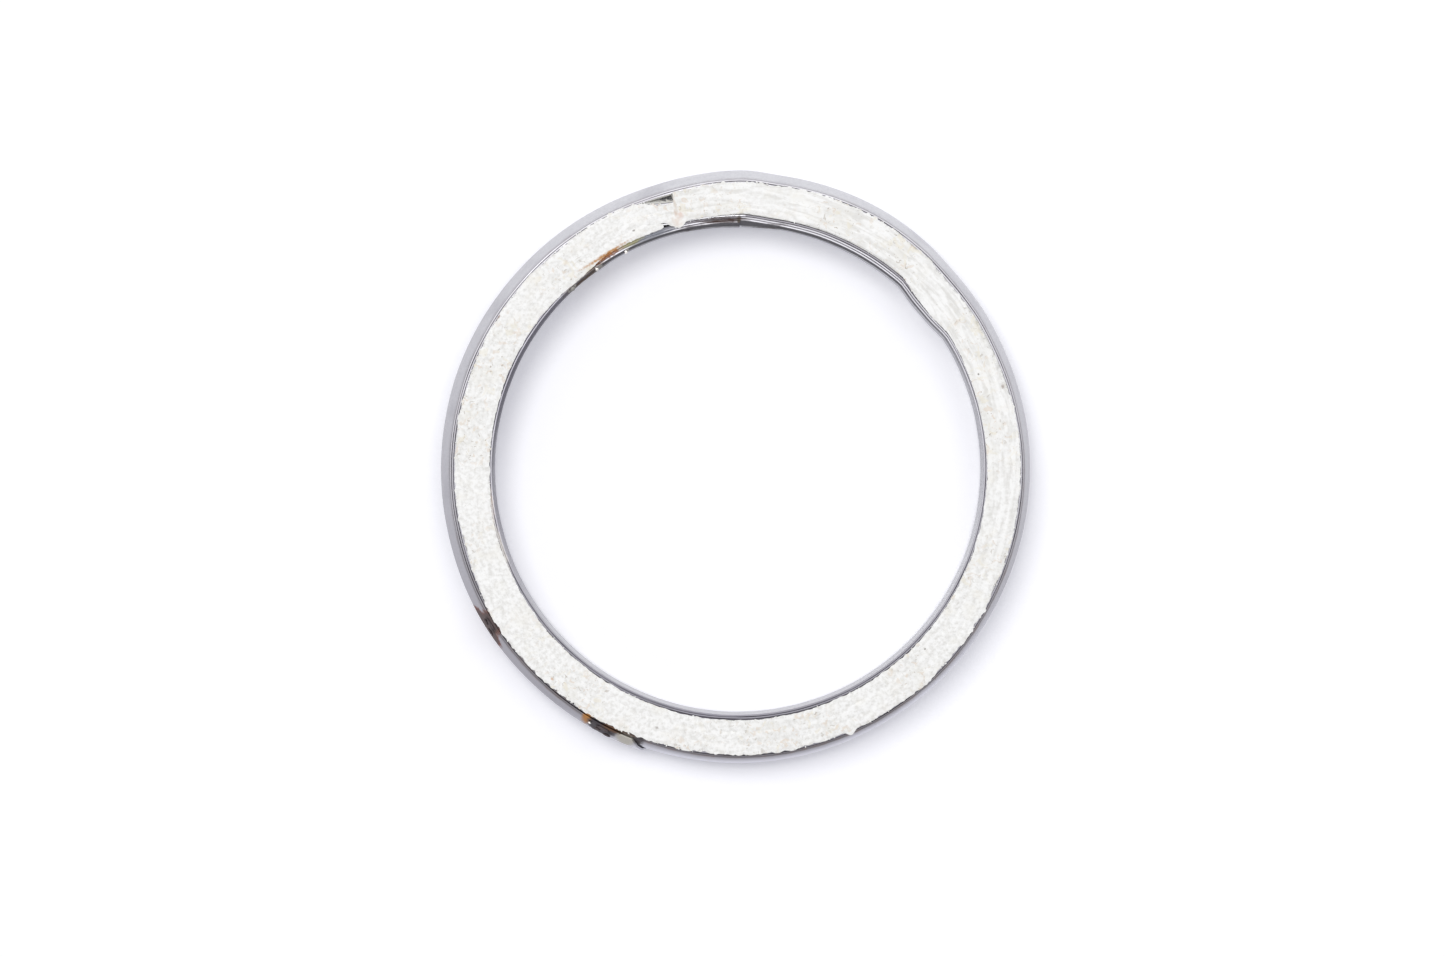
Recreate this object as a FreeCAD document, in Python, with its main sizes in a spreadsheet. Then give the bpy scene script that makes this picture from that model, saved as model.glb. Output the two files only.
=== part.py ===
"""Spiral-wound exhaust ring gasket, lying flat, as a parametric document. Millimetres, +Z up.

One chevron-section steel strip is wound outward, anticlockwise seen from above, from a start edge in
the bore to a raised end on the outside. Its first and last turns lie bare on each other, tacked with
small welds, and are one solid. A channel winds between the turns in the middle, and in it lies a
fibre ribbon, a little taller than the steel, that both sealing faces rest on. Every turn steps out
over the strip's start at a ramp, and over the ribbon's start at a wedge, and follows one flat dent.
The origin is on the ring's axis, on the face it lies on. Angles are in degrees from +X.
"""
import FreeCAD, Part
import math
import os

FULL_TURN = 360.0
TOUCHING = 1e-6

SIZES = {
    "bore_diameter": 35.0,
    "overall_height": 4.5,
    "filler_proud": 0.1,
    "steel_thickness": 0.15,
    "filler_thickness": 0.62,
    "chevron_depth": 0.72,
    "inner_bare_turns": 3,
    "filler_turns": 3,
    "outer_bare_turns": 2,
    "strip_start_angle": 89.2,
    "ramp_length": 2.5,
    "bare_lead_length": 4.3,
    "wedge_length": 2.8,
    "dent_angle": 40.0,
    "dent_length": 4.9,
    "strip_end_angle": 251.4,
    "end_shear_length": 0.8,
    "end_lift": 0.1,
    "lift_length": 8.0,
    "weld_diameter": 0.5,
    "weld_top_diameter": 0.3,
    "weld_depth": 0.4,
    "weld_rise": 0.05,
    "bore_weld_count": 3,
    "bore_weld_angle": 117.4,
    "bore_weld_pitch": 7.4,
    "outside_weld_count": 2,
    "outside_weld_angle": 212.6,
    "outside_weld_pitch": 30.3,
}

# The radii of the two bare walls, and their lean at the depth of the welds, in terms of the sheet.
BORE_WALL = "Sizes.bore_diameter / 2"
OUTSIDE_WALL = (
    f"{BORE_WALL} + Sizes.filler_turns * Sizes.filler_thickness"
    " + (Sizes.inner_bare_turns + Sizes.filler_turns + Sizes.outer_bare_turns) * Sizes.steel_thickness"
)
WELD_LEAN = "Sizes.chevron_depth * Sizes.weld_depth / (Sizes.overall_height / 2 - Sizes.filler_proud)"


def make_sheet(doc):
    """The driving dimensions, one alias to a row."""
    sheet = doc.addObject("Spreadsheet::Sheet", "Sizes")
    for row, (alias, value) in enumerate(SIZES.items(), start=1):
        sheet.set(f"A{row}", alias)
        sheet.set(f"B{row}", str(value))
        sheet.setAlias(f"B{row}", alias)
    doc.recompute()
    return sheet


def place(radius, angle):
    """The point of the plan at a radius and an angle."""
    around = math.radians(angle)
    return FreeCAD.Vector(radius * math.cos(around), radius * math.sin(around), 0)


class Span:
    """A stretch of a turn in plan, from one angle to the next, at the radius of its inner face."""

    def __init__(self, start, end, radius, climb=0.0, straight=False):
        self.start = start
        self.end = end
        self.radius = radius
        self.climb = climb
        self.straight = straight

    def points(self, shift):
        """The two ends of a chord, or the three points of an arc, moved outward by a shift."""
        radius = self.radius + shift
        first = place(radius, self.start)
        last = place(radius + self.climb, self.end)
        if self.straight:
            return [first, last]
        # A rising end leaves its turn gently: a quarter of the climb is reached half way along.
        middle = place(radius + self.climb / 4, (self.start + self.end) / 2)
        return [first, middle, last]


def closed_wire(stretches, spline=False):
    """The wire through lines and arcs in order, closed by straight edges where two don't meet.

    A spline arc is as exact as a plain one, and its ruled walls need no points between their edges.
    """
    curves = []
    for points, following in zip(stretches, stretches[1:] + stretches[:1]):
        curve = Part.Arc(*points) if len(points) == 3 else Part.LineSegment(*points)
        curves.append(curve.toBSpline() if spline else curve)
        if not points[-1].isEqual(following[0], TOUCHING):
            curves.append(Part.LineSegment(points[-1], following[0]))
    return Part.Wire([curve.toShape() for curve in curves])


class Winding:
    """The strip's turns in plan, numbered from 0 at the bore, and the outlines that they give."""

    def __init__(self, sheet):
        self.sheet = sheet
        self.steel = sheet.steel_thickness
        self.first_filled = sheet.inner_bare_turns
        self.past_filled = self.first_filled + sheet.filler_turns
        self.last_turn = self.past_filled + sheet.outer_bare_turns - 1
        # The radius of each turn ahead of the wedge, where it lies on the end of the turn below,
        # and past it, where the ribbon has come in under the filled turns.
        self.ahead = [sheet.bore_diameter / 2]
        self.past = [sheet.bore_diameter / 2]
        for turn in range(1, self.last_turn + 1):
            self.ahead.append(self.past[-1] + self.steel)
            self.past.append(self.ahead[-1] + (sheet.filler_thickness if self.filled(turn) else 0))
        self.start = sheet.strip_start_angle
        self.wedge = self.start + self.angle_of(sheet.bare_lead_length)
        self.past_wedge = self.wedge + self.angle_of(sheet.wedge_length)
        self.ramp = self.start + FULL_TURN - self.angle_of(sheet.ramp_length)
        self.dent_start = sheet.dent_angle + FULL_TURN - self.angle_of(sheet.dent_length) / 2
        self.dent_end = sheet.dent_angle + FULL_TURN + self.angle_of(sheet.dent_length) / 2

    def filled(self, turn):
        """Whether a turn has the ribbon under it."""
        return self.first_filled <= turn < self.past_filled

    def angle_of(self, length):
        """The angle that a length along the bore takes."""
        return math.degrees(2 * length / self.sheet.bore_diameter)

    def spans(self, turn):
        """One full turn, from the strip's start angle round to it again."""
        ahead, past = self.ahead[turn], self.past[turn]
        return [
            Span(self.start, self.wedge, ahead),
            Span(self.wedge, self.past_wedge, ahead, past - ahead, straight=self.filled(turn)),
            Span(self.past_wedge, self.dent_start, past),
            Span(self.dent_start, self.dent_end, past, straight=True),
            Span(self.dent_end, self.ramp, past),
            Span(self.ramp, self.start + FULL_TURN, past, self.steel, straight=True),
        ]

    def bore_outline(self, shift):
        """The bore: the inner side of the first turn, closed by the start edge of the strip."""
        return closed_wire([span.points(shift) for span in self.spans(0)])

    def outside_outline(self, shift, end_angle):
        """The outside: the last, part turn up to its end, then the turn below from there on."""
        top = self.past[self.last_turn]
        lift_start = self.sheet.strip_end_angle - self.angle_of(self.sheet.lift_length)
        spans = [
            Span(self.start, lift_start, top),
            Span(lift_start, end_angle, top, self.sheet.end_lift),
            Span(end_angle, self.dent_start, self.past[self.last_turn - 1]),
            *self.spans(self.last_turn - 1)[3:],
        ]
        return closed_wire([span.points(shift + self.steel) for span in spans])

    def channel_outline(self, shift):
        """The channel that the ribbon lies in, which the wedge closes to a point at both ends."""
        turns = [self.spans(turn) for turn in range(self.first_filled - 1, self.past_filled + 1)]
        inner_side = turns[0][1:] + sum(turns[1:-2], []) + turns[-2][:2]
        outer_side = turns[1][1:] + sum(turns[2:-1], []) + turns[-1][:2]
        out = [span.points(shift + self.steel) for span in inner_side]
        back = [span.points(shift)[::-1] for span in reversed(outer_side)]
        return closed_wire(out + back, spline=True)

    def ribbon_outline(self, shift):
        """The ribbon, on the outer face of the turns that carry it, blunt at both ends."""
        turns = [self.spans(turn) for turn in range(self.first_filled - 1, self.past_filled)]
        spans = turns[0][2:] + sum(turns[1:-1], []) + turns[-1][:1]
        inner_face = shift + self.steel
        outer_face = inner_face + self.sheet.filler_thickness
        out = [span.points(inner_face) for span in spans]
        back = [span.points(outer_face)[::-1] for span in reversed(spans)]
        return closed_wire(out + back, spline=True)


def add_chevron(doc, name, wires, heights):
    """A solid with ruled chevron walls, through an outline at its foot, its fold and its top."""
    loft = doc.addObject("Part::Loft", name)
    outlines = []
    for level, wire, height in zip(("Foot", "Fold", "Top"), wires, heights):
        outline = doc.addObject("Part::Feature", f"{name}{level}")
        outline.Shape = wire
        outline.setExpression("Placement.Base.z", height)
        outlines.append(outline)
    loft.Sections = outlines
    loft.Solid = True
    loft.Ruled = True
    return loft


def add_full_height(doc, name, outline, sheet):
    """A chevron as tall as the ribbon, whose walls run on past both edges of the steel."""
    beyond = sheet.chevron_depth * sheet.filler_proud / (sheet.overall_height / 2 - sheet.filler_proud)
    wires = [outline(-beyond), outline(sheet.chevron_depth), outline(-beyond)]
    return add_chevron(doc, name, wires, ("0", "Sizes.overall_height / 2", "Sizes.overall_height"))


def add_cut(doc, name, base, tool):
    """The base with the tool cut out of it."""
    cut = doc.addObject("Part::Cut", name)
    cut.Base = base
    cut.Tool = tool
    return cut


def add_welds(doc, name, count, first_angle, pitch, wall):
    """A row of tack-weld beads, half sunk in a bare wall and rising a little past its upper edge."""
    beads = []
    for number in range(count):
        angle = f"({first_angle} + {number} * {pitch})"
        bead = doc.addObject("Part::Cone", f"{name}{number + 1}")
        bead.setExpression("Radius1", "Sizes.weld_diameter / 2")
        bead.setExpression("Radius2", "Sizes.weld_top_diameter / 2")
        bead.setExpression("Height", "Sizes.weld_depth + Sizes.weld_rise")
        bead.setExpression("Placement.Base.x", f"({wall} + {WELD_LEAN}) * cos({angle})")
        bead.setExpression("Placement.Base.y", f"({wall} + {WELD_LEAN}) * sin({angle})")
        bead.setExpression(
            "Placement.Base.z", "Sizes.overall_height - Sizes.filler_proud - Sizes.weld_depth"
        )
        beads.append(bead)
    return beads


def make_steel(doc, sheet, winding):
    """The wound strip: its outside form, less the bore and the channel, with its tack welds."""
    shear = winding.angle_of(sheet.end_shear_length)
    wires = [
        winding.outside_outline(0, sheet.strip_end_angle + shear),
        winding.outside_outline(sheet.chevron_depth, sheet.strip_end_angle),
        winding.outside_outline(0, sheet.strip_end_angle - shear),
    ]
    heights = (
        "Sizes.filler_proud",
        "Sizes.overall_height / 2",
        "Sizes.overall_height - Sizes.filler_proud",
    )
    outside = add_chevron(doc, "Outside", wires, heights)
    bore = add_full_height(doc, "Bore", winding.bore_outline, sheet)
    channel = add_full_height(doc, "Channel", winding.channel_outline, sheet)
    ring = add_cut(doc, "BoredRing", outside, bore)
    strip = add_cut(doc, "WoundStrip", ring, channel)
    steel = doc.addObject("Part::MultiFuse", "SteelWinding")
    bore_place = "Sizes.bore_weld_angle", "Sizes.bore_weld_pitch", BORE_WALL
    outside_place = "Sizes.outside_weld_angle", "Sizes.outside_weld_pitch", OUTSIDE_WALL
    steel.Shapes = [
        strip,
        *add_welds(doc, "BoreWeld", sheet.bore_weld_count, *bore_place),
        *add_welds(doc, "OutsideWeld", sheet.outside_weld_count, *outside_place),
    ]
    steel.Label = "steel_winding"
    return steel


def make_filler(doc, sheet, winding):
    """The fibre ribbon, which fills the channel but for the wedges at its ends."""
    filler = add_full_height(doc, "FibreRibbon", winding.ribbon_outline, sheet)
    filler.Label = "fibre_filler"
    return filler


def check(doc, nodes):
    """Stops the build if an object failed or a sub-part has no sound shape."""
    for part in doc.Objects:
        if {"Invalid", "Error"} & set(part.State):
            raise RuntimeError(f"{part.Name} failed: {part.State}")
    for node in nodes:
        if node.Shape.isNull() or not node.Shape.isValid():
            raise RuntimeError(f"{node.Label} has no valid shape")


def main():
    doc = FreeCAD.newDocument("ExhaustGasket")
    sheet = make_sheet(doc)
    winding = Winding(sheet)
    nodes = [make_steel(doc, sheet, winding), make_filler(doc, sheet, winding)]
    doc.recompute()
    check(doc, nodes)
    os.makedirs("parts", exist_ok=True)
    for node in nodes:
        node.Shape.exportStep(f"parts/{node.Label}.step")
        solids = len(node.Shape.Solids)
        print(f"{node.Label}: {solids} solid, {len(node.Shape.Faces)} faces, {node.Shape.Volume:.2f} mm3")


main()
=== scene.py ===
"""The looks of a spiral-wound exhaust ring gasket: a rolled steel strip wound with white fibre.

Lengths here are in millimetres and angles in degrees from +X, anticlockwise, as the solids have them.
"""
import math
import random

import bmesh
import bpy
from mathutils import Matrix, Vector, noise


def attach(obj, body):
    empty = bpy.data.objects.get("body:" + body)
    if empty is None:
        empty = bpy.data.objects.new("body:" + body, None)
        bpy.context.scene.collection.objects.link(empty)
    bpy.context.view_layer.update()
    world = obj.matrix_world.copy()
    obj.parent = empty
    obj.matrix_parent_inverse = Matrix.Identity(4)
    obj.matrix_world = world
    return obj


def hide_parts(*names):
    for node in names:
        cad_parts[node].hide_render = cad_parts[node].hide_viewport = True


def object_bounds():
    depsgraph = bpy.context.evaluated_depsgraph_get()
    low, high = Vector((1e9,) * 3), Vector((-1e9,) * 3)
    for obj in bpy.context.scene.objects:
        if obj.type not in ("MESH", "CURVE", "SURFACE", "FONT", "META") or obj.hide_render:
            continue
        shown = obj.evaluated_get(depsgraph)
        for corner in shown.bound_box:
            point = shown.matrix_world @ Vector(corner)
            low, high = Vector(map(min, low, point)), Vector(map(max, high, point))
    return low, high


MM = 0.001
FULL_TURN = 360.0

# The winding. A turn runs from the strip's start angle round to it again, numbered from 0 at the bore.
BORE_RADIUS = 17.5
STEEL = 0.15
PLY_GAP = 0.012
FILLER = 0.62
FOLD_DEPTH = 0.72
FOLD_RADIUS = 0.2
FILLER_PROUD = 0.1
FIRST_FILLED = 3
PAST_FILLED = 6
LAST_TURN = 7
# Each turn climbs a ramp over the strip's start edge. Those that have the ribbon under them step out at
# the wedge, where it starts.
STRIP_START = 89.2
RAMP = 81.0
WEDGE = 103.3
PAST_WEDGE = 112.45
# The strip's end is cut on a slant, in degrees over half its height, and lifts by so many mm.
STRIP_END = 251.4
END_SHEAR = 2.6
LIFT_START = 225.2
END_LIFT = 0.1
# A knock has left a flat dent. It fades outward by a share, and its middle is deeper at the bore, in mm.
DENT = 40.0
HALF_DENT = 8.0
DENT_FADE = 0.7
DENT_EXTRA = 0.13

# What handling has done to the ring. Its two edges lean a little off the fold, towards an angle, and the
# outside is slightly out of round: by how much, in mm, at each angle.
LEAN = 0.18
LEAN_ANGLE = 307.0
OUT_OF_ROUND = (
    (0, 0.0), (25, -0.1), (40, -0.02), (62, 0.16), (85, 0.1), (110, -0.17), (135, -0.15), (165, -0.05),
    (190, 0.0), (215, 0.12), (238, 0.12), (252, 0.1), (275, 0.16), (310, 0.08), (345, 0.0), (360, 0.0),
)
# How far the felt spreads over the bare turns outside it and inside it, in mm, at each angle.
OUTER_SPREAD = (
    (0, 0.03), (10, 0.06), (22, -0.12), (33, -0.06), (45, 0.02), (60, 0.12), (80, 0.2), (90, 0.14),
    (103, 0.08), (110, 0.3), (120, 0.38), (130, 0.18), (137, 0.26), (165, 0.15), (185, 0.06),
    (203, 0.06), (210, 0.28), (243, 0.22), (255, 0.16), (290, 0.12), (305, 0.1), (330, 0.1),
    (334, 0.0), (338, 0.08), (360, 0.03),
)
INNER_SPREAD = (
    (0, 0.19), (20, 0.2), (33, 0.1), (38, 0.12), (45, 0.06), (52, -0.14), (85, -0.1), (98, 0.0), (101, 0.04),
    (103.4, 0.44), (105, 0.2), (106.4, 0.0), (120, 0.03), (131, 0.34), (140, 0.2), (180, 0.26), (195, 0.12),
    (210, 0.15), (240, 0.12), (270, 0.05), (300, 0.12), (340, 0.17), (360, 0.19),
)
# Tack welds, by their angles: on the bore's edge, and under the outside's scorch marks.
BORE_WELDS = (117.2, 125.2, 132.6)
OUTSIDE_WELDS = (212.6, 242.9)
# Where the steel between two turns of the ribbon just shows: angle and half width in degrees.
BARE_SEAMS = ((37.0, 1.2), (109.5, 1.8), (269.0, 3.2), (277.0, 1.0), (297.2, 1.6))
# Tufts over the outer band: angle, half width in degrees, and reach in mm.
TUFTS = ((281.5, 1.5, 0.08), (293.6, 1.4, 0.3), (311.5, 3.0, 0.14), (330.0, 1.2, 0.18))

# The strip is drawn in steps of about 0.5 mm, and the ribbon, whose felt is finer, in steps of 0.11 mm.
STRIP_STEPS = 1800
RIBBON_STEPS = 3264
# Edges that turn by more than this many degrees are sharp.
SHARP = 50.0

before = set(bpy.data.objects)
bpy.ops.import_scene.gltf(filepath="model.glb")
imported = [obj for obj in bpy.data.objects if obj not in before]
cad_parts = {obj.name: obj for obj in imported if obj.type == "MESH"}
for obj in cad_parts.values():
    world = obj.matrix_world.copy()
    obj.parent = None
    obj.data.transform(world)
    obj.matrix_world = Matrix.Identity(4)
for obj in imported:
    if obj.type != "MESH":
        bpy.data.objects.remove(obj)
cad_low, cad_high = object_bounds()
HEIGHT = (cad_high.z - cad_low.z) / MM
MIDDLE = HEIGHT / 2
STEEL_TOP = HEIGHT - FILLER_PROUD
# About the middle of the felted band. A pattern along the winding has its true length there.
BAND_RADIUS = 19.0
random.seed(7)


def smooth(value, low, high):
    """0 at low, 1 at high, and a smooth change between them."""
    share = min(1.0, max(0.0, (value - low) / (high - low)))
    return share * share * (3 - 2 * share)


def rough(point, grain):
    """Fractal noise of two octaves about 0 at a point in mm, with lumps of a grain size in mm."""
    return noise.fractal(Vector(point) / grain, 1.0, 2.0, 2)


def between(table, angle):
    """The value at an angle, from a table of angles and values, with smooth steps between them."""
    angle %= FULL_TURN
    steps = zip(table, table[1:])
    (start, before), (end, after) = next(step for step in steps if angle <= step[1][0])
    return before + (after - before) * smooth(angle, start, end)


def polar(radius, angle, height):
    """The point in mm at a radius, an angle and a height."""
    around = math.radians(angle)
    return Vector((radius * math.cos(around), radius * math.sin(around), height))


# The winding in plan

def turn_radii():
    """The inner radius of each turn of steel, ahead of the wedge and past it."""
    ahead, past = [BORE_RADIUS], [BORE_RADIUS]
    for turn in range(1, LAST_TURN + 1):
        ahead.append(past[-1] + STEEL)
        past.append(ahead[-1] + (FILLER if FIRST_FILLED <= turn < PAST_FILLED else 0))
    return ahead, past


AHEAD, PAST = turn_radii()


def steel_radius(run):
    """The inner radius of the strip where it has run to an angle, counted on through the turns."""
    turn = int((run - STRIP_START) // FULL_TURN)
    turn = min(max(turn, 0), LAST_TURN)
    angle = run - turn * FULL_TURN
    radius = AHEAD[turn] + (PAST[turn] - AHEAD[turn]) * smooth(angle, WEDGE, PAST_WEDGE)
    radius += STEEL * smooth(angle, RAMP + FULL_TURN, STRIP_START + FULL_TURN)
    if turn == LAST_TURN:
        radius += END_LIFT * smooth(angle, LIFT_START, STRIP_END)
    share = (radius - BORE_RADIUS) / (PAST[-1] - BORE_RADIUS)
    off = min(abs(angle - FULL_TURN - DENT), 60)
    flat = max(1 - math.cos(math.radians(HALF_DENT)) / math.cos(math.radians(off)), 0.0)
    dent = BORE_RADIUS * flat * (1 - DENT_FADE * share) + DENT_EXTRA * (1 - share) * smooth(off, 9, 2)
    return radius - dent + share * between(OUT_OF_ROUND, angle)


def turn_radius(turn, angle):
    """The inner radius of the strip on a turn, at an angle of the plan."""
    return steel_radius(turn * FULL_TURN + STRIP_START + (angle - STRIP_START) % FULL_TURN)


def fold(height, angle):
    """How far the chevron stands out at a height, with a small radius at the fold, and the lean."""
    half = STEEL_TOP - MIDDLE
    off = (math.hypot(height - MIDDLE, FOLD_RADIUS) - FOLD_RADIUS) / half
    return FOLD_DEPTH * (1 - off) + LEAN * off * math.cos(math.radians(angle - LEAN_ANGLE))


def rolled(name, steps, section, place, start, end):
    """A flat strip rolled up: a grid whose rows are the section's corners, closed along its seam.

    place gives the point in mm of a share of the strip's length and a corner of its section. The
    attribute turn holds the turn that each point is on.
    """
    bm = bmesh.new()
    turns = bm.verts.layers.float.new("turn")
    to_numbers = Matrix.Diagonal((steps / 2, len(section) / 2, 1, 1))
    bmesh.ops.create_grid(
        bm, x_segments=steps, y_segments=len(section), size=1,
        matrix=Matrix.Translation((steps / 2, len(section) / 2, 0)) @ to_numbers,
    )
    for vert in bm.verts:
        corner = section[round(vert.co.y) % len(section)]
        share = round(vert.co.x) / steps
        vert[turns] = (start + (end - start) * share - STRIP_START) // FULL_TURN
        vert.co = place(share, corner) * MM
    bmesh.ops.remove_doubles(bm, verts=bm.verts, dist=1e-8)
    bmesh.ops.holes_fill(bm, edges=[edge for edge in bm.edges if edge.is_boundary])
    bmesh.ops.recalc_face_normals(bm, faces=bm.faces)
    return finished(name, bm)


def finished(name, bm):
    """The piece of a bmesh, smooth shaded, riding on the one body."""
    for face in bm.faces:
        face.smooth = True
    mesh = bpy.data.meshes.new(name)
    bm.to_mesh(mesh)
    bm.free()
    mesh.set_sharp_from_angle(angle=math.radians(SHARP))
    piece = bpy.data.objects.new(name, mesh)
    bpy.context.scene.collection.objects.link(piece)
    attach(piece, "root")
    return piece


# Steel strip

def strip_section():
    """Corners of the strip's section: how far across its thickness, and how high.

    The edges that the shears left are rounded, and the fold has four close rows.
    """
    thick = STEEL - PLY_GAP
    nick = 0.035
    foot, top = FILLER_PROUD, STEEL_TOP
    up = [foot + 0.1, 0.9, 1.6, MIDDLE - 0.28, MIDDLE - 0.1, MIDDLE + 0.1, MIDDLE + 0.28, 2.9, 3.6, top - 0.1]
    inner = [(0, height) for height in [foot + nick, *up, top - nick]]
    outer = [(thick, height) for _, height in reversed(inner)]
    return [*inner, (nick, top), (thick - nick, top), *outer, (thick - nick, foot), (nick, foot)]


def strip_point(share, corner):
    """A point of the wound strip. Its edges wander a little, and its end is cut on a slant and torn."""
    across, height = corner
    tear = 0.5 * rough((height, 0, 5), 0.9)
    end = LAST_TURN * FULL_TURN + STRIP_END - END_SHEAR * (height - MIDDLE) / MIDDLE + tear
    run = STRIP_START + (end - STRIP_START) * share
    turn = (run - STRIP_START) // FULL_TURN
    near_edge = smooth(abs(height - MIDDLE), 1.6, 2.1)
    # Each turn has its own stretch of noise.
    at = polar(18, run, 9 * turn)
    radius = steel_radius(run) + across + fold(height, run)
    radius += near_edge * 0.014 * rough(at, 2.3)
    if run < STRIP_START + FULL_TURN:
        # The first turn is kinked inward at its foot, on both sides of the start edge.
        kink = 0.09 * smooth(run, 103, 90) + 0.2 * smooth(run, FULL_TURN + 79, FULL_TURN + 89)
        radius -= kink * smooth(MIDDLE - height, 0.3, 2.0)
    rise = near_edge * (0.03 * rough(at, 3.1) + 0.012 * rough(at, 0.9))
    if turn in (FIRST_FILLED, FIRST_FILLED + 1):
        # The steel between two turns of the ribbon lies a little below the felt.
        rise -= 0.06 * smooth(height, MIDDLE, STEEL_TOP) - 0.06 * smooth(height, MIDDLE, FILLER_PROUD)
    return polar(radius, run, height + rise)


steel = rolled(
    "steel_strip", STRIP_STEPS, strip_section(), strip_point,
    STRIP_START, LAST_TURN * FULL_TURN + STRIP_END,
)
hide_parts("steel_winding")


# Fibre ribbon

RIBBON_START = PAST_WEDGE + (FIRST_FILLED - 1) * FULL_TURN
RIBBON_END = WEDGE + (PAST_FILLED - 1) * FULL_TURN
# The fibre that is pressed into the wedge, ahead of the ribbon's start and past its end.
RIBBON_LEAD = RIBBON_START - 5.6
RIBBON_TAIL = RIBBON_END + 6.5


def ribbon_section():
    """Corners of the ribbon's section: a share of the way across, a height, and whether it is felted.

    The felt forms a lip at each face, and its edge is rounded by a corner half way down the lip.
    """
    lip = 0.17
    half_lip = 0.09
    top = [(share / 8, HEIGHT, 1) for share in range(9)]
    bottom = [(1 - share / 5, 0, 1) for share in range(6)]
    wall = [HEIGHT - lip, MIDDLE + FOLD_RADIUS, MIDDLE - FOLD_RADIUS, lip]
    outer = [(0.97, HEIGHT - half_lip, 1), *((1, height, 0) for height in wall), (0.97, half_lip, 1)]
    inner = [(1 - across, height, felted) for across, height, felted in reversed(outer)]
    return [*top, *outer, *bottom, *inner]


def overhang(run, outward, side):
    """How far the felted face reaches past the ribbon's own thickness, in mm.

    Between two of its turns it meets itself over the edge of the steel, and it hides most of the two
    gaps at the wedge. Along the bare turns it is ragged, most of all outside near 70 degrees, and it has
    tufts over the outer band.
    """
    angle = run % FULL_TURN
    if run > RIBBON_END:
        return 0.0
    # Each border and each side has its own stretch of noise.
    at = polar(BAND_RADIUS + outward, run, 20 * side)
    ragged = 0.08 * rough(at, 1.3) + 0.1 * rough(at, 0.4) + 0.05 * rough(at, 0.16)
    if outward and run > RIBBON_END - FULL_TURN:
        ragged *= 1 + 0.6 * smooth(abs(angle - 70), 70, 20)
        reach = between(OUTER_SPREAD, angle)
        for middle, half, tuft in TUFTS:
            reach += tuft * smooth(half - abs(angle - middle), 0, half)
        return min(max(reach + ragged, -0.2), 0.55)
    if not outward and run < RIBBON_START + FULL_TURN:
        return min(max(between(INNER_SPREAD, angle) + 0.5 * ragged, -0.2), 0.5)
    seam = STEEL / 2 + (0.06 if outward else -0.02)
    gap_end = RIBBON_END - FULL_TURN
    if outward and run > gap_end - 20:
        return seam + 0.44 * smooth(run, gap_end - 11, gap_end - 2)
    return seam


def felt_depth(run, across, at, side):
    """How far the felt lies below the ribbon's true face, in mm: its lumps, free edges and seams."""
    on_first_turn = run < RIBBON_START + FULL_TURN
    on_last_turn = run > RIBBON_END - FULL_TURN
    free = (across < 0.5 and on_first_turn) or (across > 0.5 and on_last_turn)
    brim = smooth(abs(across - 0.5), 0.28, 0.5) * free
    bare = max(smooth(half - abs(run % FULL_TURN - middle), 0, half) for middle, half in BARE_SEAMS)
    seam = smooth(across, 0.8, 1) if on_first_turn else smooth(across, 0.2, 0)
    groove = 0.008 + 0.08 * bare * seam * (run < RIBBON_START + 2 * FULL_TURN)
    # Some lumps are six times as long as wide, and lie along the winding.
    along = (math.radians(run) * 20, 6 * math.hypot(at.x, at.y), 40 * side)
    lump = 0.03 * rough(at, 0.5) + 0.03 * rough(along, 1.4) - 0.035 * (2 * across - 1) ** 2
    # Past its end the ribbon dives out of sight.
    sunk = 1.5 * smooth(run, RIBBON_END, RIBBON_END + 0.3)
    return 0.03 * brim + groove - lump + sunk


def ribbon_point(share, corner):
    """A point of the ribbon. Its two faces are felted: lumpy, and a little lower at their free edges."""
    across, height, felted = corner
    run = RIBBON_LEAD + (RIBBON_TAIL - RIBBON_LEAD) * share
    side = 1 if height > MIDDLE else -1
    radius = steel_radius(run) + STEEL
    thick = steel_radius(run + FULL_TURN) - radius
    if not felted:
        return polar(radius + thick * across + fold(height, run), run, height)
    low, high = -overhang(run, 0, side), thick + overhang(run, 1, side)
    radius += low + (high - low) * across + fold(height, run)
    at = polar(radius, run, height)
    if height in (HEIGHT, 0):
        at.z -= side * felt_depth(run, across, at.copy(), side)
    return at


filler = rolled(
    "fibre_ribbon", RIBBON_STEPS, ribbon_section(), ribbon_point, RIBBON_LEAD, RIBBON_TAIL)
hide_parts("fibre_filler")


# Tack welds and crumbs

def lumps(name, places, facets):
    """Small rounded lumps, each with a place, its three half sizes in mm, a turn, and a material."""
    bm = bmesh.new()
    for at, size, angle, slot in places:
        made = bmesh.ops.create_icosphere(bm, subdivisions=facets, radius=1)["verts"]
        for vert in made:
            swell = 1 + 0.15 * rough(vert.co * 3 + at * 7, 1.6)
            vert.co = Vector(vert.co[axis] * size[axis] * swell for axis in range(3))
        bmesh.ops.rotate(bm, verts=made, matrix=Matrix.Rotation(math.radians(angle), 3, "Z"))
        bmesh.ops.translate(bm, verts=made, vec=at)
        for face in {face for vert in made for face in vert.link_faces}:
            face.material_index = slot
    bmesh.ops.scale(bm, verts=bm.verts, vec=(MM, MM, MM))
    return finished(name, bm)


def on_edge(turn, angle, inward, height):
    """A point on a turn's inner face, moved inward, at a height."""
    return polar(steel_radius(turn * FULL_TURN + angle) + fold(height, angle) - inward, angle, height)


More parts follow.
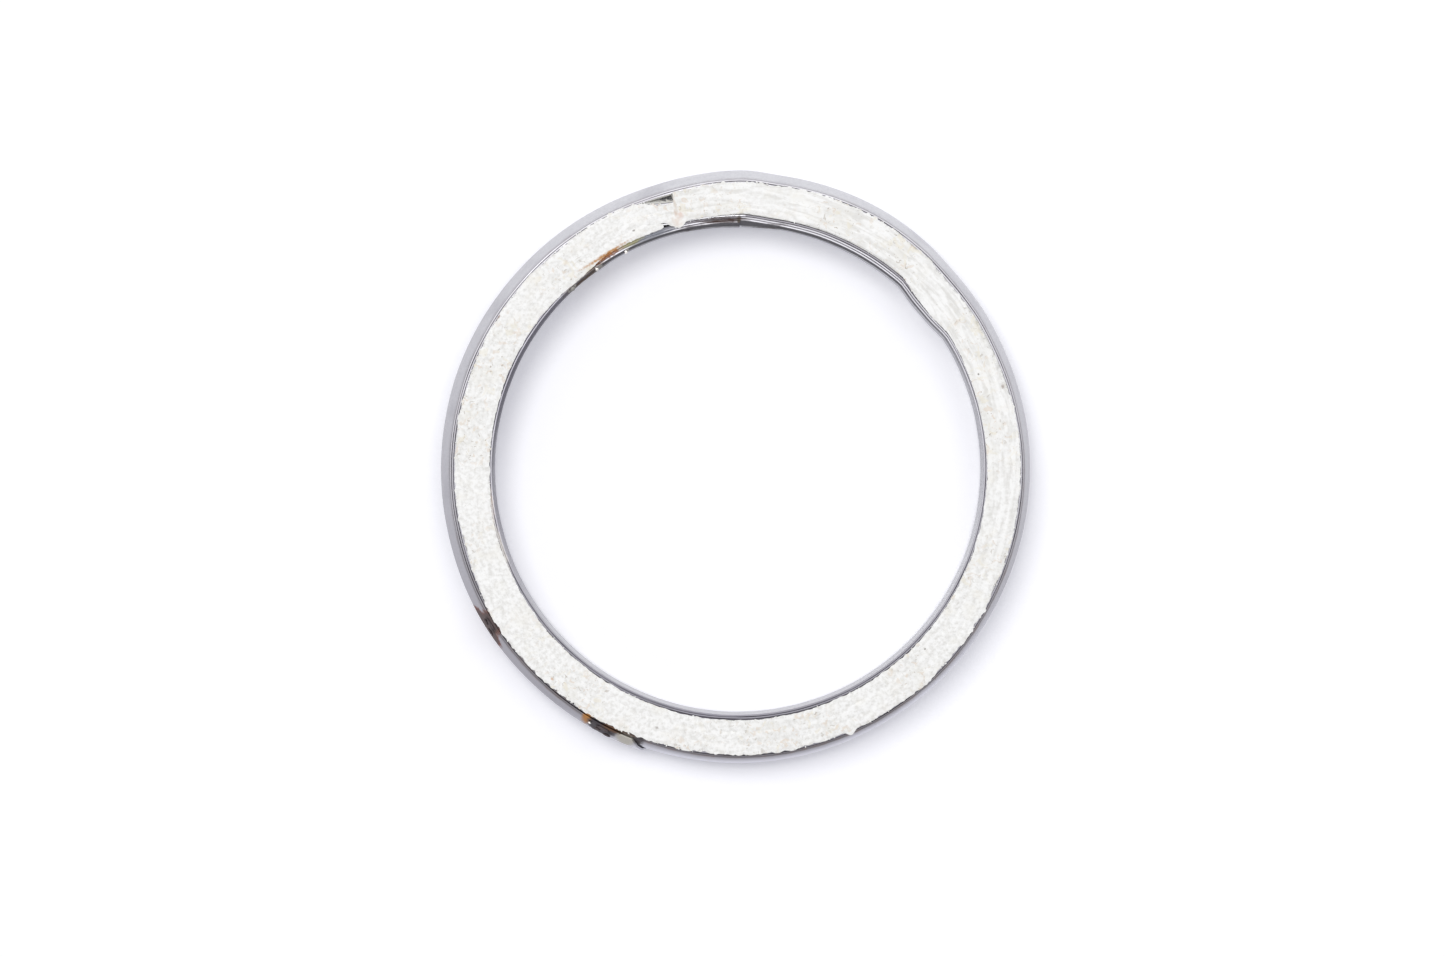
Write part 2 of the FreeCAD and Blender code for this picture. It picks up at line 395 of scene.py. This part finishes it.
def make_beads():
    """Tack welds: two bright droplets and a rough one on the bore's edge, and two scorched outside."""
    first, second, third = BORE_WELDS
    places = [
        (on_edge(1, first, 0.32, 4.25), (0.14, 0.14, 0.15), first, 0),
        (on_edge(1, first - 0.4, 0.24, 4.15), (0.14, 0.2, 0.14), first, 1),
        (on_edge(1, second, 0.27, 4.27), (0.14, 0.14, 0.15), second, 0),
        (on_edge(1, second - 1.0, 0.26, 4.15), (0.14, 0.24, 0.14), second, 1),
        (on_edge(1, third, 0.28, 4.15), (0.22, 0.26, 0.18), third, 1),
        (on_edge(1, third + 1.0, 0.26, 4.1), (0.15, 0.15, 0.15), third, 1),
        (on_edge(1, third - 0.9, 0.22, 4.16), (0.14, 0.16, 0.15), third, 1),
    ]
    for angle in OUTSIDE_WELDS:
        places += [
            (on_edge(LAST_TURN, angle, -0.2, 4.2), (0.12, 0.5, 0.16), angle, 2),
            (on_edge(LAST_TURN, angle + 1.2, -0.36, 3.7), (0.09, 0.3, 0.3), angle, 2),
            (on_edge(LAST_TURN, angle - 0.9, -0.3, 3.9), (0.1, 0.25, 0.25), angle, 2),
        ]
    places.append((on_edge(LAST_TURN, 240.1, -0.24, 4.15), (0.11, 0.13, 0.2), 240.1, 0))
    beads = lumps("tack_welds", places, 3)
    return beads


CRUMB_COUNT = 700


def make_crumbs():
    """Loose crumbs of fibre on the felt, most of them along its two ragged edges."""
    places = []
    for _ in range(CRUMB_COUNT):
        angle = random.uniform(0, FULL_TURN)
        size = random.uniform(0.02, 0.06)
        outer = turn_radius(PAST_FILLED - 1, angle)
        inner = turn_radius(FIRST_FILLED - 1, angle)
        radius = random.choice((
            outer + between(OUTER_SPREAD, angle) - random.uniform(-0.04, 0.12),
            outer + between(OUTER_SPREAD, angle) - random.uniform(-0.02, 0.12),
            inner + STEEL - between(INNER_SPREAD, angle) + random.uniform(-0.02, 0.12),
            random.uniform(inner + 0.3, outer),
        ))
        at = polar(radius + fold(HEIGHT, angle), angle, HEIGHT - random.uniform(0.2, 1.2) * size)
        places.append((at, (size, size * random.uniform(1, 2.5), size * 0.7), random.uniform(0, 180), 0))
    crumbs = lumps("fibre_crumbs", places, 1)
    return crumbs


beads = make_beads()
crumbs = make_crumbs()


# Materials

def linear(code):
    """A colour from its sRGB hex code, as linear red, green, blue and alpha."""
    parts = [int(code[at:at + 2], 16) / 255 for at in (0, 2, 4)]
    return (*[part / 12.92 if part <= 0.04045 else ((part + 0.055) / 1.055) ** 2.4 for part in parts], 1)


def add(tree, kind, inputs=None, out=0, **settings):
    """Adds a node with its settings, values and links, and returns one of its outputs."""
    made = tree.nodes.new("ShaderNode" + kind)
    for name, value in settings.items():
        setattr(made, name, value)
    for name, value in (inputs or {}).items():
        if isinstance(value, bpy.types.NodeSocket):
            tree.links.new(value, made.inputs[name])
        else:
            made.inputs[name].default_value = value
    return made.outputs[out]


def toward(angle):
    """The unit vector at an angle in the plan."""
    return (math.cos(math.radians(angle)), math.sin(math.radians(angle)), 0)


def new_material(name):
    """An empty node material, and its tree."""
    material = bpy.data.materials.new(name)
    material.use_nodes = True
    material.node_tree.nodes.clear()
    return material, material.node_tree


def around(tree):
    """Object coordinates, and unrolled: radius, angle in radians and height. Lengths are in metres."""
    place = add(tree, "TexCoord", out="Object")
    x, y, z = add(tree, "SeparateXYZ", {0: place}).node.outputs
    flat = add(tree, "CombineXYZ", {"X": x, "Y": y})
    radius = add(tree, "VectorMath", {0: flat}, out="Value", operation="LENGTH")
    angle = add(tree, "Math", {0: y, 1: x}, operation="ARCTAN2")
    return place, radius, angle, z


def streaks(tree, radius, angle, z, across, along):
    """Coordinates for a pattern drawn out along the winding, from its two sizes in mm."""
    length = add(tree, "Math", {0: angle, 1: BAND_RADIUS * MM}, operation="MULTIPLY")
    scaled = [
        add(tree, "Math", {0: value, 1: 1 / (size * MM)}, operation="MULTIPLY")
        for value, size in ((radius, across), (length, along), (z, across))
    ]
    return add(tree, "CombineXYZ", dict(zip("XYZ", scaled)))


def across_ring(tree, place, angle, low, high, before=0.0, after=1.0):
    """A value that changes across the ring: before it reaches low mm towards an angle, and after high."""
    reach = add(tree, "VectorMath", {0: place, 1: toward(angle)}, out="Value", operation="DOT_PRODUCT")
    return add(tree, "MapRange", {"Value": reach, "From Min": low * MM, "From Max": high * MM,
                                  "To Min": before, "To Max": after})


def patch(tree, place, angle, radius, half_width, half_length, blur, ragged, grain):
    """A mask for a patch of the ring, 1 in it and 0 outside, in mm and degrees, with a ragged edge."""
    centred = add(
        tree, "Mapping", {"Vector": place, "Rotation": (0, 0, math.radians(-angle)),
                          "Location": (-radius * MM, 0, 0)}, vector_type="POINT")
    reach = add(tree, "VectorMath", {0: centred, 1: (1 / (half_width * MM), 1 / (half_length * MM), 0)},
                operation="MULTIPLY")
    far = add(tree, "VectorMath", {0: reach}, out="Value", operation="LENGTH")
    grains = add(tree, "TexNoise", {"Vector": place, "Scale": 1 / (grain * MM), "Detail": 3.0})
    shift = add(tree, "Math", {0: grains, 1: -0.5}, operation="ADD")
    far = add(tree, "Math", {0: shift, 1: 2 * ragged, 2: far}, operation="MULTIPLY_ADD")
    return add(tree, "MapRange", {"Value": far, "From Min": 1 + blur, "From Max": 1 - blur},
               interpolation_type="SMOOTHSTEP")


def laid_over(tree, colour, *layers):
    """A colour with others laid over it in turn, each a mask and a tint, where its mask is 1."""
    for mask, tint in layers:
        colour = add(tree, "Mix", {"Factor": mask, 6: colour, 7: linear(tint)}, out=2, data_type="RGBA")
    return colour


# Marks on the strip. Each has its angle, radius, half width and half length in mm, blur, raggedness and the
# grain of that, colour, how far it is drawn out in lines, and the height in mm that it reaches down to.
MARKS = (
    # A tack weld's scorch outside
    (212.5, 21.25, 0.4, 1.75, 0.15, 0.35, 0.4, "7d4f45", 0.0, 1.0),
    (212.4, 20.75, 0.6, 1.0, 0.2, 0.4, 0.3, "7a5850", 0.0, 1.2),
    (212.5, 21.25, 0.34, 1.5, 0.15, 0.35, 0.4, "635655", 0.0, 1.3),
    (212.3, 20.75, 0.55, 0.8, 0.2, 0.4, 0.3, "635655", 0.0, 1.5),
    # The scorch of the other one, which runs on to the strip's end
    (239.3, 20.8, 0.5, 0.4, 0.4, 0.5, 0.3, "b07b42", 0.0, 2.2),
    (247.8, 21.0, 0.5, 0.7, 0.3, 0.4, 0.4, "bdb9b1", 0.0, 1.8),
    (245.6, 20.62, 0.22, 0.5, 0.5, 0.9, 0.2, "66523f", 0.0, 2.5),
    (247.8, 20.52, 0.15, 0.9, 0.5, 0.8, 0.2, "5f5048", 0.0, 2.5),
    (242.6, 20.95, 0.56, 1.1, 0.15, 0.35, 0.4, "4a4449", 0.0, 1.4),
    (244.2, 20.7, 0.2, 0.6, 0.5, 0.9, 0.2, "6b4f3d", 0.0, 2.5),
    (250.3, 20.72, 0.34, 0.36, 0.4, 0.6, 0.25, "4d474a", 0.0, 1.8),
    # Grey and rusty lines beside the fibre, and straw and brown round the welds in the bore
    (110.0, 17.55, 0.25, 2.2, 0.6, 0.3, 0.4, "8f929b", 0.8, 3.0),
    (122.4, 17.68, 0.17, 1.8, 0.6, 1.2, 0.2, "8f5a30", 0.2, 3.2),
    (121.8, 17.76, 0.1, 1.5, 0.6, 1.2, 0.18, "b9824f", 0.2, 3.4),
    (115.2, 17.66, 0.14, 0.8, 0.7, 0.8, 0.3, "a39f78", 0.3, 3.4),
    (116.6, 17.32, 0.1, 0.14, 0.5, 0.4, 0.2, "8a5a1c", 0.0, 3.0),
    (128.6, 17.35, 0.24, 1.6, 0.6, 0.5, 0.3, "5b4632", 0.5, 0.0),
    # Burnt oil beside the strip's start edge, and painted shade at the foot of its kink below it
    (93.5, 17.62, 0.2, 1.7, 0.5, 0.5, 0.3, "4a3630", 0.9, 3.0),
    (91.5, 17.2, 0.16, 3.2, 0.5, 0.4, 0.3, "30201e", 0.3, 0.0),
    # Light cream streaks along the bore's edges, and the start edge itself
    (188.0, 17.78, 0.18, 1.6, 0.6, 0.5, 0.3, "e3d9cf", 0.7, 3.6),
    (198.5, 17.74, 0.18, 1.8, 0.6, 0.5, 0.3, "dedad6", 0.7, 3.6),
    (89.4, 17.6, 0.28, 0.13, 0.5, 0.4, 0.3, "5d544d", 0.0, 3.4),
)


def marked(tree, colour, place, lines, depth):
    """A colour with the marks laid over it, and one mask for all of them."""
    burnt = 0.0
    for *shape, tint, drawn_out, foot in MARKS:
        mask = patch(tree, place, *shape)
        if drawn_out:
            lined = add(tree, "MapRange", {"Value": lines, "To Min": 1 - drawn_out})
            mask = add(tree, "Math", {0: mask, 1: lined}, operation="MULTIPLY")
        if foot:
            high = add(tree, "MapRange", {"Value": depth, "From Min": (foot + 0.3) * MM,
                                          "From Max": (foot + 0.6) * MM})
            mask = add(tree, "Math", {0: mask, 1: high}, operation="MULTIPLY")
        colour = laid_over(tree, colour, (mask, tint))
        burnt = add(tree, "Math", {0: burnt, 1: mask}, operation="MAXIMUM")
    return colour, burnt


def rolled_stainless():
    """Cold-rolled stainless strip: a grey metal with a violet cast, dull, with faint rolling streaks.

    Tack welding has scorched it black-brown in places, with straw-coloured borders, and it has rusted
    a little beside the fibre. Real rolling lines are finer than these, which are as coarse as they need
    to be to show.
    """
    material, tree = new_material("rolled_stainless")
    place, radius, angle, z = around(tree)
    drawn = streaks(tree, radius, angle, z, 0.12, 5.0)
    streak = add(tree, "TexNoise", {"Vector": drawn, "Scale": 1.0, "Detail": 4.0})
    cloud = add(tree, "TexNoise", {"Vector": place, "Scale": 1 / (3.5 * MM), "Detail": 3.0})
    grain = add(tree, "TexNoise", {"Vector": place, "Scale": 1 / (0.18 * MM), "Detail": 2.0})
    turn = add(tree, "Attribute", out="Fac", attribute_name="turn")
    on_bore = add(tree, "Math", {0: turn, 1: 0.5}, operation="LESS_THAN")
    inside = add(tree, "Math", {0: turn, 1: FIRST_FILLED - 0.5}, operation="LESS_THAN")
    by_fibre = add(tree, "Math", {0: turn, 1: FIRST_FILLED - 1.0, 2: 0.6}, operation="COMPARE")
    outside = add(tree, "Math", {0: turn, 1: PAST_FILLED - 0.5}, operation="GREATER_THAN")

    # The strip is painted lighter on the side towards the lamps, away from the scorched end, and darker on
    # the other: painted light and shade.
    dull = add(tree, "Mix", {"Factor": streak, 6: linear("85838a"), 7: linear("a3a1a8")}, out=2,
               data_type="RGBA")
    bright = add(tree, "Mix", {"Factor": streak, 6: linear("c8c8cb"), 7: linear("e0e0e1")}, out=2,
                 data_type="RGBA")
    lit_side = across_ring(tree, place, 85, -20, 20)
    colour = add(tree, "Mix", {"Factor": lit_side, 6: dull, 7: bright}, out=2, data_type="RGBA")
    clouded = add(tree, "MapRange", {"Value": cloud, "From Min": 0.5, "From Max": 0.75, "To Max": 0.35})
    flecked = add(tree, "MapRange", {"Value": grain, "From Min": 0.42, "From Max": 0.62, "To Max": 0.12})
    colour = laid_over(tree, colour, (clouded, "9a989f"), (flecked, "8d8b94"))

    # Painted shade lies along the sheared edges outside, under the felt's overhang, with grime, heavier on
    # the shaded side, and brown dirt in it.
    edge_shade_and_grime = add(tree, "MapRange", {"Value": z, "From Min": 3.95 * MM, "From Max": 4.35 * MM})
    patchy = add(tree, "MapRange", {"Value": streak, "From Min": 0.3, "From Max": 0.55})
    for share in (across_ring(tree, place, 275, 0, 15, 0.2, 0.95), patchy, outside):
        edge_shade_and_grime = add(tree, "Math", {0: edge_shade_and_grime, 1: share}, operation="MULTIPLY")
    brown = add(tree, "TexNoise", {"Vector": place, "Scale": 1 / (0.6 * MM), "Detail": 3.0})
    brown = add(tree, "MapRange", {"Value": brown, "From Min": 0.47, "From Max": 0.6, "To Max": 0.8})
    brown = add(tree, "Math", {0: brown, 1: edge_shade_and_grime}, operation="MULTIPLY")
    colour = laid_over(tree, colour, (edge_shade_and_grime, "4f4947"), (brown, "6d4c36"))

    # The cut edges are dull all round, darker on the outer turns and painted lighter on the lit side. The
    # outside has a painted highlight about the fold, past the strip's end.
    cut = add(tree, "MapRange", {"Value": z, "From Min": 4.3 * MM, "From Max": 4.37 * MM, "To Max": 0.75})
    cut_grey = add(tree, "Mix", {"Factor": outside, 6: linear("8e8c95"), 7: linear("6f6d73")}, out=2,
               data_type="RGBA")
    raw = add(tree, "Mix", {"Factor": lit_side, 6: cut_grey, 7: linear("a9a7ad")}, out=2, data_type="RGBA")
    colour = add(tree, "Mix", {"Factor": cut, 6: colour, 7: raw}, out=2, data_type="RGBA")
    off_fold = add(tree, "Math", {0: z, 1: 2.4 * MM}, operation="SUBTRACT")
    off_fold = add(tree, "Math", {0: off_fold}, operation="ABSOLUTE")
    pale = add(tree, "MapRange", {"Value": off_fold, "From Min": 1.5 * MM, "From Max": 0.2 * MM,
                                  "To Max": 0.72})
    for share in (across_ring(tree, place, 285, 13, 18.5), outside):
        pale = add(tree, "Math", {0: pale, 1: share}, operation="MULTIPLY")

    # Below its fold the bore's wall has painted shade on the side away from the lamps, down to a bare foot,
    # and painted light on the side they reach.
    below_fold = add(tree, "MapRange", {"Value": z, "From Min": 2.6 * MM, "From Max": 2.0 * MM})
    wall = add(tree, "Math", {0: below_fold, 1: on_bore}, operation="MULTIPLY")
    foot = across_ring(tree, place, 118, 4, 12, 0.48 * MM, 0.24 * MM)
    above = add(tree, "Math", {0: z, 1: foot}, operation="SUBTRACT")
    above = add(tree, "MapRange", {"Value": above, "From Max": 0.12 * MM})
    wall_shade = add(tree, "Math", {0: wall, 1: above}, operation="MULTIPLY")
    wall_shade = add(tree, "Math", {0: wall_shade, 1: across_ring(tree, place, 100, 0, 9, 0, 0.85)},
               operation="MULTIPLY")
    wall_light = add(tree, "Math", {0: wall, 1: across_ring(tree, place, 100, 0, -9, 0, 0.7)},
              operation="MULTIPLY")

    # The bore's plies are dull past the wedge, and the one beside the fibre is stained all round.
    dusk = add(tree, "Math", {0: inside, 1: across_ring(tree, place, 150, 16, 16.9, 0, 0.8)},
               operation="MULTIPLY")
    stained = add(tree, "Math", {0: by_fibre, 1: across_ring(tree, place, 100, 5, -12, 0.7, 0.75)},
                  operation="MULTIPLY")
    colour = laid_over(tree, colour, (pale, "e6e6ee"), (wall_shade, "403d41"), (wall_light, "dededf"),
                       (dusk, "807e86"), (stained, "656168"))

    wiry = streaks(tree, radius, angle, z, 0.06, 2.2)
    wiry = add(tree, "TexNoise", {"Vector": wiry, "Scale": 1.0, "Detail": 2.0})
    lines = add(tree, "MapRange", {"Value": wiry, "From Min": 0.42, "From Max": 0.54})
    depth = add(tree, "Math", {0: grain, 1: 0.8 * MM, 2: z}, operation="MULTIPLY_ADD")
    colour, burnt = marked(tree, colour, place, lines, depth)
    shine = add(tree, "MapRange", {"Value": streak, "From Min": 0.3, "From Max": 0.7,
                                   "To Min": 0.4, "To Max": 0.56})
    roughness = add(tree, "Math", {0: burnt, 1: 0.3, 2: shine}, operation="MULTIPLY_ADD")
    metal = add(tree, "Math", {0: burnt, 1: -0.55, 2: 1.0}, operation="MULTIPLY_ADD")
    fine = add(tree, "Bump", {"Height": streak, "Distance": 0.006 * MM, "Strength": 0.5}, out="Normal")
    crust = add(tree, "Math", {0: grain, 1: burnt}, operation="MULTIPLY")
    bumped = add(tree, "Bump", {"Height": crust, "Distance": 0.05 * MM, "Strength": 0.6, "Normal": fine},
                 out="Normal")
    shader = add(tree, "BsdfPrincipled", {"Base Color": colour, "Metallic": metal,
                                          "Roughness": roughness, "Normal": bumped})
    return material, tree, shader


def set_surface(tree, shader):
    """Joins a shader to the material's output."""
    output = tree.nodes.new("ShaderNodeOutputMaterial")
    tree.links.new(shader, output.inputs["Surface"])


# Specks of filler mineral in the fibre: width in mm, level of the noise, strength and colour.
SPECKS = (
    (0.5, 0.6, 0.6, "e6d8c8"),
    (0.34, 0.64, 0.8, "cdc8bf"),
    (0.8, 0.6, 0.5, "efe8d4"),
    (0.26, 0.68, 0.8, "b4aa9c"),
)
# Stains on the felt. Each has its angle, radius, half width and half length in mm, blur, raggedness and
# the grain of that, and colour.
STAINS = (
    (103.4, 18.6, 0.2, 0.12, 0.8, 1.1, 0.2, "dfcfc3"),
    (102.6, 18.4, 0.25, 0.16, 0.8, 1.3, 0.2, "ead9cf"),
    (103.6, 18.05, 0.3, 0.25, 0.9, 1.3, 0.2, "ede3da"),
    (103.2, 19.2, 0.5, 0.1, 0.7, 0.9, 0.2, "e3dcd2"),
    (121.8, 17.8, 0.1, 1.6, 0.8, 1.2, 0.18, "c39465"),
    (147.9, 20.2, 0.14, 0.3, 0.5, 0.6, 0.3, "8c5a3c"),
    (113.5, 18.4, 0.06, 0.1, 0.7, 0.6, 0.1, "aaa6a0"),
    (16.8, 19.85, 0.1, 0.14, 0.8, 0.8, 0.1, "bdb4ad"),
    (21.0, 18.5, 0.06, 0.07, 0.7, 0.6, 0.1, "989590"),
    (316.0, 18.7, 0.06, 0.07, 0.7, 0.6, 0.1, "a5a19c"),
    (253.0, 19.45, 0.08, 0.1, 0.8, 0.7, 0.1, "bcb8b3"),
    (229.0, 20.05, 0.08, 0.1, 0.8, 0.8, 0.1, "dcc0aa"),
)


def compressed_fibre():
    """Compressed ceramic and mineral fibre: matt off-white, granular, with cream and brown specks.

    The fibres are drawn out along the winding, most where the strip was dented. A single one is too fine
    to show, so the grain stands for bunches of them.
    """
    material, tree = new_material("compressed_fibre")
    place, radius, angle, z = around(tree)
    fine = add(tree, "TexNoise", {"Vector": place, "Scale": 1 / (0.3 * MM), "Detail": 4.0,
                                  "Roughness": 0.6})
    combed = streaks(tree, radius, angle, z, 0.32, 1.9)
    combed = add(tree, "TexNoise", {"Vector": combed, "Scale": 1.0, "Detail": 4.0, "Distortion": 0.7})
    drawn = across_ring(tree, place, 50, 4, 18, 0.3, 0.72)
    felt = add(tree, "Mix", {"Factor": drawn, "A": fine, "B": combed}, out=0)
    mottle = add(tree, "TexNoise", {"Vector": place, "Scale": 1 / (1.3 * MM), "Detail": 3.0})
    cloud = add(tree, "TexNoise", {"Vector": place, "Scale": 1 / (5.0 * MM), "Detail": 2.0})
    light = add(tree, "MapRange", {"Value": felt, "From Min": 0.38, "From Max": 0.56})
    colour = add(tree, "Mix", {"Factor": light, 6: linear("e7e6e2"), 7: linear("fdfdfb")}, out=2,
                 data_type="RGBA")
    cream = add(tree, "MapRange", {"Value": mottle, "From Min": 0.52, "From Max": 0.75, "To Max": 0.5})
    grey = add(tree, "MapRange", {"Value": cloud, "From Min": 0.5, "From Max": 0.75, "To Max": 0.25})
    colour = laid_over(tree, colour, (cream, "f3f0e7"), (grey, "e2e2dd"))
    drift = add(tree, "MapRange", {"Value": cloud, "From Min": 0.42, "From Max": 0.6})
    for width, level, strength, tint in SPECKS:
        spots = add(tree, "TexNoise", {"Vector": place, "Scale": 1 / (width * MM), "Detail": 2.0,
                                       "Distortion": 0.8})
        speck = add(tree, "MapRange", {"Value": spots, "From Min": level, "From Max": level + 0.06,
                                       "To Max": strength})
        speck = add(tree, "Math", {0: speck, 1: drift}, operation="MULTIPLY")
        colour = laid_over(tree, colour, (speck, tint))
    for *shape, tint in STAINS:
        colour = laid_over(tree, colour, (patch(tree, place, *shape), tint))
    height = add(tree, "Mix", {"Factor": 0.3, "A": felt, "B": mottle}, out=0)
    bumped = add(tree, "Bump", {"Height": height, "Distance": 0.06 * MM, "Strength": 0.6}, out="Normal")
    shader = add(tree, "BsdfPrincipled", {"Base Color": colour, "Roughness": 0.92, "Normal": bumped,
                                          "Specular IOR Level": 0.2})
    return material, tree, shader


def weld_metal(name, colour, roughness, metallic):
    """Melted steel: bright and glassy where it froze as a droplet, dull and dark where it burnt."""
    material, tree = new_material(name)
    place = add(tree, "TexCoord", out="Object")
    crust = add(tree, "TexNoise", {"Vector": place, "Scale": 1 / (0.12 * MM), "Detail": 3.0})
    low, high = (linear(code) for code in colour)
    shade = add(tree, "Mix", {"Factor": crust, 6: low, 7: high}, out=2, data_type="RGBA")
    bumped = add(tree, "Bump", {"Height": crust, "Distance": 0.03 * MM, "Strength": roughness}, out="Normal")
    shader = add(tree, "BsdfPrincipled", {"Base Color": shade, "Metallic": metallic,
                                          "Roughness": roughness, "Normal": bumped})
    return material, tree, shader


def finish_with(piece, *recipes):
    """Gives a piece its materials, in the order of its material numbers."""
    for material, tree, shader in recipes:
        set_surface(tree, shader)
        piece.data.materials.append(material)


fibre = compressed_fibre()
finish_with(steel, rolled_stainless())
finish_with(filler, fibre)
crumbs.data.materials.append(fibre[0])
finish_with(
    beads,
    weld_metal("bright_weld", ("d9cfc2", "ffffff"), 0.12, 1.0),
    weld_metal("grey_weld", ("6f6c68", "a19f9c"), 0.55, 0.8),
    weld_metal("burnt_weld", ("383436", "66585a"), 0.7, 0.3),
)


# Floor, light and camera

def lifted(tree, plain, seen):
    """Joins two shaders: light meets the plain one, and the camera and reflections see the other."""
    path = tree.nodes.new("ShaderNodeLightPath")
    shows = path.outputs["Is Camera Ray"]
    for ray in ("Is Glossy Ray", "Is Transmission Ray"):
        shows = add(tree, "Math", {0: shows, 1: path.outputs[ray]}, operation="MAXIMUM")
    return add(tree, "MixShader", {0: shows, 1: plain, 2: seen})


HALF_TABLE = 3000.0
# Two round softboxes: azimuth and angle off the vertical in degrees, and watts.
SOFTBOXES = {"left": (133, 20, 1.4), "right": (34, 19, 0.55)}
SOFTBOX_SIZE = 280.0
SOFTBOX_DISTANCE = 600.0
CAMERA_PLACE = (-1.0, -0.82, 301.0)


def make_floor():
    """A plain white table top, whose shadow stays soft and slightly blue."""
    bm = bmesh.new()
    bmesh.ops.create_grid(bm, x_segments=1, y_segments=1, size=HALF_TABLE * MM)
    mesh = bpy.data.meshes.new("floor")
    bm.to_mesh(mesh)
    bm.free()
    floor = bpy.data.objects.new("floor", mesh)
    bpy.context.scene.collection.objects.link(floor)
    material, tree = new_material("white_table")
    plain = add(tree, "BsdfDiffuse", {"Color": linear("f6f6f6")})
    glow = add(tree, "Emission", {"Color": linear("e8e9fe"), "Strength": 0.19})
    set_surface(tree, lifted(tree, plain, add(tree, "AddShader", {0: plain, 1: glow})))
    mesh.materials.append(material)


def make_light():
    """Two soft lamps high up behind, left and right, and an even pale surround."""
    for name, (azimuth, off_vertical, energy) in SOFTBOXES.items():
        lamp = bpy.data.lights.new(name, "AREA")
        lamp.shape = "DISK"
        lamp.size = SOFTBOX_SIZE * MM
        lamp.energy = energy
        softbox = bpy.data.objects.new(name, lamp)
        away = math.sin(math.radians(off_vertical)) * Vector(toward(azimuth))
        away.z = math.cos(math.radians(off_vertical))
        softbox.location = SOFTBOX_DISTANCE * MM * away
        softbox.rotation_mode = "QUATERNION"
        softbox.rotation_quaternion = away.to_track_quat("Z", "Y")
        bpy.context.scene.collection.objects.link(softbox)
    world = bpy.data.worlds.new("surround")
    bpy.context.scene.world = world
    world.use_nodes = True
    tree = world.node_tree
    tree.nodes.clear()
    plain = add(tree, "Background", {"Color": linear("f6f6fa"), "Strength": 0.52})
    seen = add(tree, "Background", {"Color": linear("ffffff"), "Strength": 1.0})
    output = tree.nodes.new("ShaderNodeOutputWorld")
    tree.links.new(lifted(tree, plain, seen), output.inputs["Surface"])


def make_camera():
    """Looks straight down on the ring, from as far as the photograph's framing needs."""
    lens = bpy.data.cameras.new("camera")
    lens.sensor_width = 36
    lens.sensor_fit = "HORIZONTAL"
    lens.lens = 103.5
    lens.clip_start = 0.01
    camera = bpy.data.objects.new("camera", lens)
    camera.location = tuple(part * MM for part in CAMERA_PLACE)
    bpy.context.scene.collection.objects.link(camera)
    bpy.context.scene.camera = camera


make_floor()
make_light()
make_camera()
bpy.context.scene.view_settings.view_transform = "Standard"
